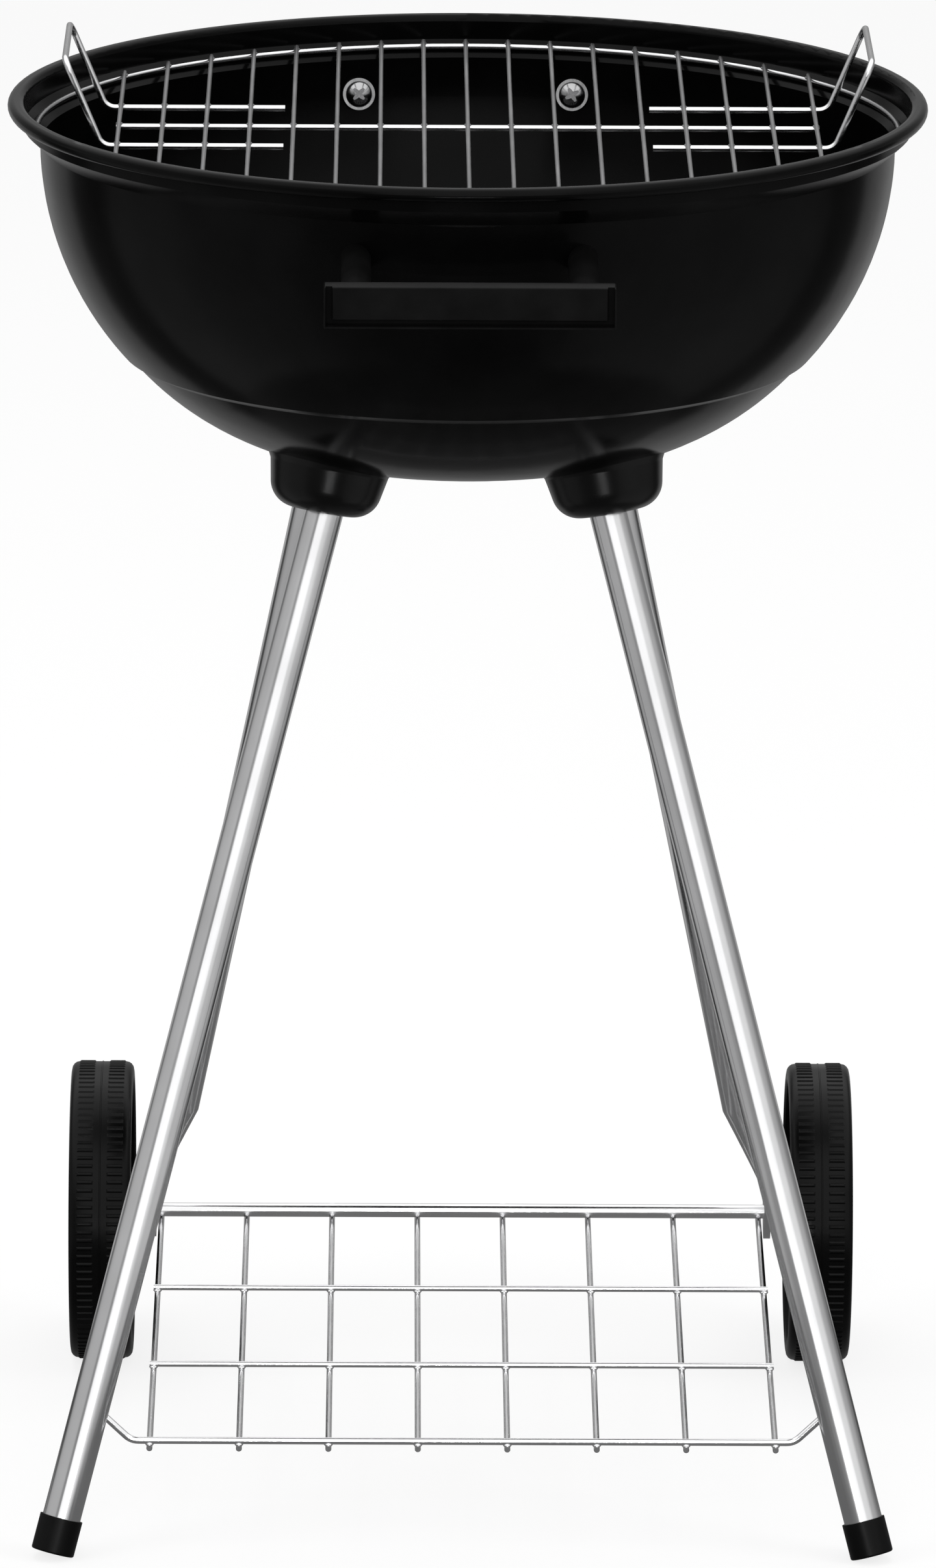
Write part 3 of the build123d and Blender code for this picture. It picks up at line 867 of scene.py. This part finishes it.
@dataclass
class SideHandle:
    """Moulded grip bar on two sloping posts, with a groove round three sides of its face."""

    end: End
    finish: Finish
    wall: BowlWall
    width: float = 139.5 * MM
    height: float = 20.0 * MM
    depth: float = 14.0 * MM
    groove_rim: float = 0.9 * MM
    groove_width: float = 3.2 * MM
    groove_depth: float = 3.5 * MM
    rounding: float = 0.7 * MM
    rim_rounding: float = 0.25 * MM
    post_spacing: float = 109.0 * MM
    post_radius: float = 7.2 * MM
    post_climb: float = 11.5 * MM
    crease: float = 40.0

    def build(self) -> Piece:
        """Models the handle in place of its CAD node, as a front handle that is turned round for the rear.

        Returns:
            The finished handle.
        """
        node = f"{self.end.name.lower()}_handle"
        low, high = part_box(node)
        front = high.y if self.end is End.REAR else -low.y
        piece = self.bar(front, low.z)
        for side in Side:
            Bench.combine(piece, self.post(side, front, low.z), Joint.UNITE)
        self.groove(piece, front, low.z)
        with Bench.editing(piece):
            bpy.ops.mesh.select_all(action="SELECT")
            bpy.ops.mesh.dissolve_degenerate(threshold=5 * HAIR)
            bpy.ops.mesh.normals_make_consistent(inside=False)
        if self.end is End.REAR:
            piece.rotation_euler.z = math.pi
            Bench.settle(piece)
        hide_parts(node)
        Bench.hand_over(piece, Body.STAND, Slot.HANDLE, self.finish, self.crease)
        return piece

    def bar(self, front: float, bottom: float) -> Piece:
        """Grip bar of a front handle, its edges rounded but for those of its face.

        Args:
            front: Distance of its front face from the bowl's axis.
            bottom: Height of its underside.

        Returns:
            The bar.
        """
        middle = Vector((0, self.depth / 2 - front, bottom + self.height / 2))
        name = f"{self.end.name.lower()}_grip"
        piece = Bench.block(name, middle, (self.width, self.depth, self.height))
        with Bench.editing(piece):
            Bench.pick(piece, Pick.EDGE, lambda edge: any(v.co.y > middle.y for v in edge.verts))
            bpy.ops.mesh.bevel(offset=self.rounding, segments=3)
        return piece

    def groove(self, piece: Piece, front: float, bottom: float) -> None:
        """Cuts the groove down both ends and along the bottom of the bar's face, and eases the edges left.

        Args:
            piece: The bar with its posts.
            front: Distance of the bar's face from the bowl's axis.
            bottom: Height of the bar's underside.
        """
        rim, width, depth = self.groove_rim, self.groove_width, 2 * self.groove_depth
        inset = rim + width
        across = self.width / 2 - rim - width / 2
        upright, level = (width, depth, self.height), (self.width - 2 * rim, depth, width)
        for side in Side:
            place = Vector((side.value * across, -front, bottom + self.height / 2 + rim))
            Bench.combine(piece, Bench.block("groove", place, upright), Joint.CARVE)
        place = Vector((0, -front, bottom + rim + width / 2))
        Bench.combine(piece, Bench.block("groove", place, level), Joint.CARVE)

        def on_face(edge: bmesh.types.BMEdge) -> bool:
            """Whether an edge lies in the plane of the bar's face."""
            return all(v.co.y < HAIR - front for v in edge.verts)

        def round_panel(edge: bmesh.types.BMEdge) -> bool:
            """Whether an edge bounds the panel inside the groove.

            Args:
                edge: An edge of the handle.

            Returns:
                True on the panel's four edges.
            """
            reach = self.width / 2 - inset + HAIR
            low = bottom + inset - HAIR
            return on_face(edge) and all(abs(v.co.x) < reach and v.co.z > low for v in edge.verts)

        def round_rim(edge: bmesh.types.BMEdge) -> bool:
            """Whether an edge bounds the thin rim outside the groove.

            Args:
                edge: An edge of the handle.

            Returns:
                True on the rim's edges.
            """
            reach = self.width / 2 - rim - HAIR
            low = bottom + rim + HAIR
            return on_face(edge) and all(abs(v.co.x) > reach or v.co.z < low for v in edge.verts)

        with Bench.editing(piece):
            Bench.pick(piece, Pick.EDGE, round_panel)
            bpy.ops.mesh.bevel(offset=self.rounding, segments=3)
            Bench.pick(piece, Pick.EDGE, round_rim)
            bpy.ops.mesh.bevel(offset=self.rim_rounding, segments=2)

    def post_line(self, side: Side, front: float, bottom: float) -> tuple[Vector, Vector]:
        """Middle line of a front post and its screw.

        Args:
            side: Which of the two posts.
            front: Distance of the bar's front face from the bowl's axis.
            bottom: Height of the bar's underside.

        Returns:
            Its point in the bar and its direction to the wall.
        """
        across = side.value * self.post_spacing / 2
        grip = Vector((across, self.depth / 2 - front, bottom + self.height / 2))
        height = grip.z + self.post_climb
        wall = Vector((across, -math.sqrt(self.wall.radius(height) ** 2 - across**2), height))
        return grip, (wall - grip).normalized()

    def post(self, side: Side, front: float, bottom: float) -> Piece:
        """Round post from the bar's back up to the bowl's wall.

        Args:
            side: Which of the two posts.
            front: Distance of the bar's front face from the bowl's axis.
            bottom: Height of the bar's underside.

        Returns:
            The post, its inner end shaped to the wall.
        """
        grip, way = self.post_line(side, front, bottom)
        Bench.clear()
        bpy.ops.mesh.primitive_cylinder_add(vertices=40, radius=self.post_radius, depth=1)
        piece = Bench.named("post")
        turn = UP.rotation_difference(way).to_matrix()
        for vertex in piece.data.vertices:
            inner = vertex.co.z > 0
            start = grip + turn @ Vector((vertex.co.x, vertex.co.y, 0))
            vertex.co = start + way * (self.wall.reach(start, way) if inner else 0)
        return piece


@dataclass
class ScrewHeads:
    """Domed heads with a V-grooved cross on the handle screws, over the CAD node's plain heads."""

    handle: SideHandle
    finish: Finish
    radius: float = 6.8 * MM
    height: float = 4.7 * MM
    plain_height: float = 3.2 * MM
    recess_span: float = 7.6 * MM
    recess_depth: float = 1.35 * MM
    turns: Span = (0.5, 0.8)
    crease: float = 40.0

    def build(self) -> Piece:
        """Models one head and copies it to the four screws.

        Returns:
            All heads as one piece.
        """
        Bench.clear()
        bpy.ops.mesh.primitive_uv_sphere_add(segments=48, ring_count=24, radius=self.radius)
        piece = Bench.named("screw_heads")
        piece.scale.z = self.height / self.radius
        Bench.settle(piece)
        with Bench.editing(piece):
            bpy.ops.mesh.select_all(action="SELECT")
            bpy.ops.mesh.bisect(plane_co=2 * HAIR * UP, plane_no=UP, use_fill=True, clear_inner=True)
        self.cross(piece)
        with Bench.editing(piece):
            bpy.ops.mesh.select_all(action="SELECT")
            bpy.ops.mesh.remove_doubles(threshold=HAIR)
            bpy.ops.mesh.dissolve_degenerate(threshold=HAIR)
            bpy.ops.mesh.normals_make_consistent(inside=False)
        Bench.repeat(piece, self.places())
        Bench.hand_over(piece, Body.STAND, Slot.SCREW, self.finish, self.crease)
        return piece

    def cross(self, piece: Piece) -> None:
        """Cuts two crossing V grooves into the top of a head.

        Args:
            piece: The head, standing at the origin.
        """
        edge = self.recess_depth * math.sqrt(2)
        top = Matrix.Translation((0, 0, self.height))
        tilt = Matrix.Rotation(math.pi / 4, 4, "X")
        for turn in (0, math.pi / 2):
            groove = Bench.block("recess", Vector(), (self.recess_span, edge, edge))
            groove.data.transform(top @ Matrix.Rotation(turn, 4, "Z") @ tilt)
            Bench.combine(piece, groove, Joint.CARVE)

    def places(self) -> list[Matrix]:
        """Seats of the four heads, read from the CAD node of the screws.

        Returns:
            The place of each head, its dome along the local Z.
        """
        low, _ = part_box("front_handle")
        screws = frame["nodes"]["handle_screws"].data
        front = [vertex.co for vertex in screws.vertices if vertex.co.y < 0]
        half_turn = Matrix.Rotation(math.pi, 4, "Z")
        places = []
        for side, turn in zip(Side, self.turns):
            grip, way = self.handle.post_line(side, -low.y, low.z)
            top = max((point - grip).dot(way) for point in front if point.x * side.value > 0)
            seat = Matrix.Translation(grip + way * (top - self.plain_height))
            seat @= UP.rotation_difference(way).to_matrix().to_4x4() @ Matrix.Rotation(turn, 4, "Z")
            places += [seat, half_turn @ seat]
        return places


@dataclass
class Welds:
    """Small weld beads where wires of one body cross."""

    name: str
    body: Body
    slot: Slot
    finish: Finish
    spread: float
    thickness: float
    swell: float = 1.12
    flank: float = 0.5
    crease: float = 80.0

    def build(self, places: list[Vector]) -> Piece:
        """Models one bead and copies it to every crossing.

        Args:
            places: Points where two wires touch.

        Returns:
            All beads as one piece.
        """
        Bench.clear()
        bpy.ops.mesh.primitive_uv_sphere_add(segments=12, ring_count=6, radius=self.spread)
        piece = Bench.named(self.name)
        piece.scale.z = self.thickness / self.spread
        Bench.settle(piece)
        with Bench.editing(piece):
            Bench.pick(piece, Pick.FACE, lambda face: abs(face.normal.z) < self.flank)
            bpy.ops.transform.resize(value=(self.swell, self.swell, 1.0), center_override=(0, 0, 0))
        Bench.repeat(piece, [Matrix.Translation(place) for place in places])
        Bench.hand_over(piece, self.body, self.slot, self.finish, self.crease)
        return piece


@dataclass(frozen=True)
class Crossings:
    """Where the wires of the rack and the grates cross, read from the CAD nodes' boxes."""

    rack_wire: float = 1.5 * MM
    rack_count: int = 8
    rod: float = 1.1 * MM
    rod_count: int = 17
    ring_wire: float = 1.5 * MM
    handle_wire: float = 1.6 * MM
    handle_rods: int = 4
    coal_wire: float = 2.0 * MM
    coal_count: int = 13

    @staticmethod
    def spaced(node: str, wire: float, count: int) -> list[float]:
        """Places along X of evenly spaced wires.

        Args:
            node: The wires' CAD node.
            wire: The wires' radius.
            count: How many there are.

        Returns:
            Their places along X.
        """
        low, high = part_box(node)
        first = low.x + wire
        pitch = (high.x - low.x - 2 * wire) / (count - 1)
        return [first + index * pitch for index in range(count)]

    def rack(self) -> list[Vector]:
        """Crossings of the rack's wires with its cross wires and front rail.

        Returns:
            The points.
        """
        wire = self.rack_wire
        low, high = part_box("rack_cross_wires")
        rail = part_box("rack_front_rail")
        rows = [(low.y + wire, low.z), (high.y - wire, high.z - 2 * wire)]
        rows.append(((rail[0].y + rail[1].y) / 2, rail[0].z))
        wires = self.spaced("rack_wires", wire, self.rack_count)
        return [Vector((x, *row)) for x in wires for row in rows]

    def cooking_grate(self) -> list[Vector]:
        """Crossings of the cooking grate's rods with its ring, cross rod and wire handles.

        Returns:
            The points.
        """
        rods = self.spaced("cooking_grate_rods", self.rod, self.rod_count)
        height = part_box("cooking_grate_rods")[0].z
        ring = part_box("cooking_grate_ring")[1].x - self.ring_wire
        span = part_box("grate_handle_left")[1].y - self.handle_wire
        places = []
        for index, x in enumerate(rods):
            depth = math.sqrt(ring**2 - x**2)
            rows = [-depth, 0.0, depth]
            if min(index, len(rods) - 1 - index) < self.handle_rods:
                rows += [-span, span]
            places += [Vector((x, y, height)) for y in rows]
        return places

    def charcoal_grate(self) -> list[Vector]:
        """Crossings of the charcoal grate's rods with its ring and cross rods.

        Returns:
            The points.
        """
        wire = self.coal_wire
        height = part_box("charcoal_grate_rods")[0].z
        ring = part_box("charcoal_grate_ring")[1].x - wire
        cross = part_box("charcoal_grate_cross_rods")[1].y - wire
        places = []
        for x in self.spaced("charcoal_grate_rods", wire, self.coal_count):
            depth = math.sqrt(ring**2 - x**2)
            places += [Vector((x, y, height)) for y in (-depth, -cross, cross, depth)]
        return places


@dataclass
class Dresser:
    """Gives every CAD node that stays in view its finish."""

    leg_radius: float = 9.5 * MM
    tube_tones: Span = (0.70, 0.78)
    tube_rough: Span = (0.12, 0.22)
    head_tones: Span = (0.36, 0.48)
    head_rough: Span = (0.14, 0.22)

    def leg_axis(self, node: str) -> Vector:
        """Direction of a leaning leg, taken from its box.

        Args:
            node: The leg's CAD node.

        Returns:
            The direction down the leg.
        """
        low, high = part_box(node)
        size = high - low
        middle = (low + high) / 2
        lean = 2 * self.leg_radius
        run = (math.copysign(size[axis] - lean, middle[axis]) for axis in (0, 1))
        return Vector((*run, -size.z))

    @staticmethod
    def finishes() -> dict[Slot, Finish]:
        """Builds the finishes that don't depend on a piece's own direction.

        Returns:
            The material of each slot.
        """
        socket = Moulding(
            "socket_finish", tones=(0.0012, 0.0024), rough=(0.22, 0.28), grain=700, depth=0.02 * MM, mirror=0.2
        )
        foot = Moulding(
            "foot_finish", tones=(0.0016, 0.0032), rough=(0.3, 0.45), grain=1400, depth=0.04 * MM, mirror=0.12
        )
        wheel = Moulding(
            "wheel_finish", tones=(0.0009, 0.002), rough=(0.24, 0.34), grain=1100, depth=0.04 * MM, mirror=0.12
        )
        handle = Moulding(
            "handle_finish",
            tones=(0.003, 0.006),
            rough=(0.42, 0.52),
            grain=1500,
            depth=0.04 * MM,
            mirror=0.04,
            # painted light on the grip's top faces and painted shade deep in its groove
            painted_top_light=0.018,
            recess=5 * MM,
        )
        made = {
            Slot.ENAMEL: Enamel("black_enamel_finish"),
            Slot.SOCKET: socket,
            Slot.FOOT: foot,
            Slot.WHEEL: wheel,
            Slot.HANDLE: handle,
            Slot.CAP: Plating("cap_finish", ACROSS, tones=(0.50, 0.60), rough=(0.22, 0.36)),
            Slot.AXLE: Plating("axle_finish", ACROSS, tones=(0.84, 0.92), rough=(0.14, 0.26)),
            Slot.RACK: Plating("rack_finish", DEEP, tones=(0.84, 0.92), rough=(0.14, 0.26)),
            Slot.SCREW: Plating("screw_finish", UP, tones=(0.24, 0.38), rough=(0.20, 0.34)),
            Slot.PLUG: Plating("plug_finish", UP, tones=(0.45, 0.55), rough=(0.3, 0.5)),
            Slot.ROD: Plating("rod_finish", DEEP, tones=(0.30, 0.38), rough=(0.34, 0.5)),
            Slot.GRATE: Plating("grate_finish", ACROSS, tones=(0.74, 0.82), rough=(0.14, 0.26)),
            Slot.COAL: Plating("coal_finish", DEEP, tones=(0.26, 0.36), rough=(0.36, 0.55)),
        }
        return {slot: finish.material() for slot, finish in made.items()}

    def screw_heads(self) -> Finish:
        """Builds the brighter finish of the domed screw heads."""
        return Plating("screw_head_finish", UP, self.head_tones, self.head_rough).material()

    def dress(self, finishes: dict[Slot, Finish]) -> None:
        """Assigns finishes to the CAD nodes by their slot, and each leg its own.

        Args:
            finishes: The material of each slot but the tubes'.
        """
        for row in frame["record"]["subparts"]:
            name, slot = row["node"], Slot(row["material_slot"])
            if slot is Slot.TUBE:
                axis = self.leg_axis(name)
                finish = Plating(f"{name}_finish", axis, self.tube_tones, self.tube_rough).material()
            else:
                finish = finishes[slot]
            for place in frame["nodes"][name].material_slots:
                place.material = finish
            LOG.info("%s dressed as %s", name, finish.name)


@dataclass
class PhotoCamera:
    """Camera at the viewing angle of a front view from slightly above."""

    place: Point = (-0.03726, -6.07462, 1.89453)
    pitch: float = 14.31
    yaw: float = 0.37
    roll: float = 0.32
    focal_pixels: float = 19191.2
    image_height: float = 2413.0
    sensor: float = 36.0
    nearest: float = 0.1
    farthest: float = 200.0

    def build(self) -> None:
        """Makes the scene's camera."""
        pitch, yaw, roll = (math.radians(a) for a in (self.pitch, self.yaw, self.roll))
        ahead = Vector((math.sin(yaw) * math.cos(pitch), math.cos(yaw) * math.cos(pitch), -math.sin(pitch)))
        level = Vector((math.cos(yaw), -math.sin(yaw), 0))
        upward = level.cross(ahead)
        right = level * math.cos(roll) + upward * math.sin(roll)
        top = upward * math.cos(roll) - level * math.sin(roll)
        data = bpy.data.cameras.new("camera")
        data.sensor_width = self.sensor
        data.lens = self.focal_pixels * self.sensor / self.image_height
        data.clip_start, data.clip_end = self.nearest, self.farthest
        camera = bpy.data.objects.new("camera", data)
        turn = Matrix((right, top, -ahead)).transposed().to_4x4()
        camera.matrix_world = Matrix.Translation(self.place) @ turn
        bpy.context.collection.objects.link(camera)
        bpy.context.scene.camera = camera
        LOG.info("camera with a %.1f mm lens", data.lens)


@dataclass(frozen=True)
class Softbox:
    """One rectangular studio lamp, hidden from the camera and, unless it is mirrored, from shiny surfaces."""

    name: str
    place: Point
    width: float
    height: float
    watts: float
    mirrored: bool = False
    aim: Point = (0.0, 0.0, 0.45)

    def build(self) -> None:
        """Hangs the lamp."""
        data = bpy.data.lights.new(self.name, "AREA")
        data.shape = "RECTANGLE"
        data.size, data.size_y = self.width, self.height
        data.energy = self.watts
        lamp = bpy.data.objects.new(self.name, data)
        lamp.location = self.place
        lamp.rotation_euler = (Vector(self.aim) - Vector(self.place)).to_track_quat("-Z", "Y").to_euler()
        lamp.visible_camera = False
        lamp.visible_glossy = self.mirrored
        bpy.context.collection.objects.link(lamp)


@dataclass
class Studio:
    """White floor and surround with soft lamps."""

    floor_size: float = 80.0
    floor_drop: float = 0.2 * MM
    floor_tones: Span = (0.77, 0.79)
    floor_grain: float = 180.0
    floor_rough: float = 0.9
    floor_mirror: float = 0.1
    floor_glow: float = 0.80
    floor_shade: float = 0.30
    near_tone: float = 0.16
    near_reach: float = 0.5
    near_fade: Stops = ((0.06, 0.0), (0.16, 1.0))
    surround_light: float = 0.50
    overhead: float = 1.5
    overhead_fade: Stops = ((0.35, 0.0), (0.75, 1.0))
    floor_bands: Stops = (
        (0.000, 0.45),
        (0.110, 0.45),
        (0.140, 0.25),
        (0.180, 0.17),
        (0.250, 0.15),
        (0.310, 0.18),
        (0.340, 0.50),
        (0.400, 0.60),
        (0.500, 0.42),
        (0.555, 0.20),
        (0.565, 0.06),
        (0.612, 0.06),
        (0.622, 0.42),
        (0.680, 0.45),
        (0.720, 0.28),
        (0.780, 0.28),
        (0.820, 0.45),
        (0.878, 0.42),
        (0.888, 0.06),
        (0.935, 0.06),
        (0.945, 0.30),
        (1.000, 0.45),
    )
    world_bands: Stops = (
        (0.000, 0.52),
        (0.135, 0.52),
        (0.150, 0.28),
        (0.180, 0.28),
        (0.190, 1.35),
        (0.305, 1.35),
        (0.320, 0.95),
        (0.400, 0.90),
        (0.440, 0.52),
        (0.500, 0.46),
        (0.560, 0.25),
        (0.680, 0.22),
        (0.750, 0.42),
        (0.820, 0.22),
        (0.900, 0.16),
        (0.940, 0.45),
        (1.000, 0.52),
    )
    lamps: tuple[Softbox, ...] = (
        Softbox("low_lamp", (-0.02, -1.6, 0.17), width=0.4, height=0.03, watts=1.6, mirrored=True),
        Softbox("front_lamp", (-0.6, -5.0, 2.8), width=1.6, height=1.2, watts=40),
        Softbox("left_lamp", (-3.2, -1.6, 1.9), width=1.6, height=2.4, watts=30),
        Softbox("right_lamp", (3.2, -1.2, 2.0), width=1.6, height=2.4, watts=36),
        Softbox("top_lamp", (0.0, 0.6, 3.6), width=2.6, height=2.6, watts=36),
    )

    def build(self) -> None:
        """Builds floor, surround and lamps."""
        self.floor()
        self.surround()
        for lamp in self.lamps:
            lamp.build()
        bpy.context.scene.view_settings.view_transform = "Standard"
        LOG.info("studio is lit")

    def floor(self) -> None:
        """Lays a plain pale floor: white with a faint shadow to the eye, in soft bands to mirror-like surfaces."""
        Bench.clear()
        bpy.ops.mesh.primitive_plane_add(size=self.floor_size, location=(0, 0, -self.floor_drop))
        floor = Bench.named("floor")
        Bench.settle(floor)
        shader = Shader("floor_paper")
        shader.fix(Roughness=self.floor_rough, Specular_IOR_Level=self.floor_mirror)
        shader.feed(shader.grey(shader.noise(self.floor_grain), *self.floor_tones), "Base Color")
        ray = shader.add("ShaderNodeLightPath").outputs
        paper = shader.surface.outputs["BSDF"]
        seen = shader.add("ShaderNodeAddShader")
        shader.link(shader.blend(self.floor_shade, shader.glow(0.0), paper), seen.inputs[0])
        shader.link(shader.glow(self.floor_glow), seen.inputs[1])
        mirrored = shader.glow(1.0, self.mirrored_floor(shader))
        shiny = shader.blend(ray["Is Glossy Ray"], paper, mirrored)
        final = shader.blend(ray["Is Camera Ray"], shiny, seen.outputs["Shader"])
        shader.link(final, shader.tree.nodes["Material Output"].inputs["Surface"])
        floor.data.materials.append(shader.material)

    def mirrored_floor(self, shader: Shader) -> Socket:
        """Tone of the floor as mirror-like surfaces see it: in bands far off, even near the grill.

        Args:
            shader: The floor's material.

        Returns:
            The tone as a colour.
        """
        bands = shader.ramp(shader.round_about(shader.place), self.floor_bands)
        scaled = shader.add("ShaderNodeMapping", vector_type="TEXTURE")
        scaled.inputs["Scale"].default_value = (self.near_reach,) * 3
        shader.link(shader.place, scaled.inputs["Vector"])
        near = shader.add("ShaderNodeTexGradient", gradient_type="SPHERICAL")
        shader.link(scaled.outputs["Vector"], near.inputs["Vector"])
        return shader.mix(shader.ramp(near.outputs["Fac"], self.near_fade), bands, self.near_tone)

    def surround(self) -> None:
        """Makes the world: white to the eye, even to matt surfaces, in soft bands to mirror-like ones."""
        world = bpy.data.worlds.new("surround")
        bpy.context.scene.world = world
        world.use_nodes = True
        nodes = Nodes(world.node_tree)
        ray = nodes.add("ShaderNodeLightPath").outputs
        way = nodes.add("ShaderNodeTexCoord").outputs["Generated"]
        bands = nodes.ramp(nodes.round_about(way), self.world_bands)
        parts = nodes.add("ShaderNodeSeparateXYZ")
        nodes.link(way, parts.inputs["Vector"])
        shiny = nodes.mix(nodes.ramp(parts.outputs["Z"], self.overhead_fade), bands, self.overhead)
        matt = nodes.mix(ray["Is Glossy Ray"], self.surround_light, shiny)
        seen = nodes.mix(ray["Is Camera Ray"], matt, 1.0)
        nodes.link(seen, world.node_tree.nodes["Background"].inputs["Color"])


def main() -> None:
    """Builds the grill's looks, the studio and the camera."""
    logging.basicConfig(level=logging.INFO, format="%(name)s: %(message)s")
    PhotoCamera().build()
    dresser = Dresser()
    finishes = dresser.finishes()
    dresser.dress(finishes)
    for side in Side:
        Wheel(side, finishes[Slot.WHEEL]).build()
    wall = BowlWall()
    handles = {end: SideHandle(end, finishes[Slot.HANDLE], wall) for end in End}
    for handle in handles.values():
        handle.build()
    ScrewHeads(handles[End.FRONT], dresser.screw_heads()).build()
    crossings = Crossings()
    beads = (
        ("rack_welds", Body.STAND, Slot.RACK, 2.0 * MM, 1.1 * MM, crossings.rack()),
        ("grate_welds", Body.COOKING_GRATE, Slot.ROD, 1.6 * MM, 0.9 * MM, crossings.cooking_grate()),
        ("coal_welds", Body.CHARCOAL_GRATE, Slot.COAL, 2.4 * MM, 1.3 * MM, crossings.charcoal_grate()),
    )
    for name, body, slot, spread, thickness, places in beads:
        Welds(name, body, slot, finishes[slot], spread, thickness).build(places)
    Studio().build()


if __name__ == "__main__":
    main()
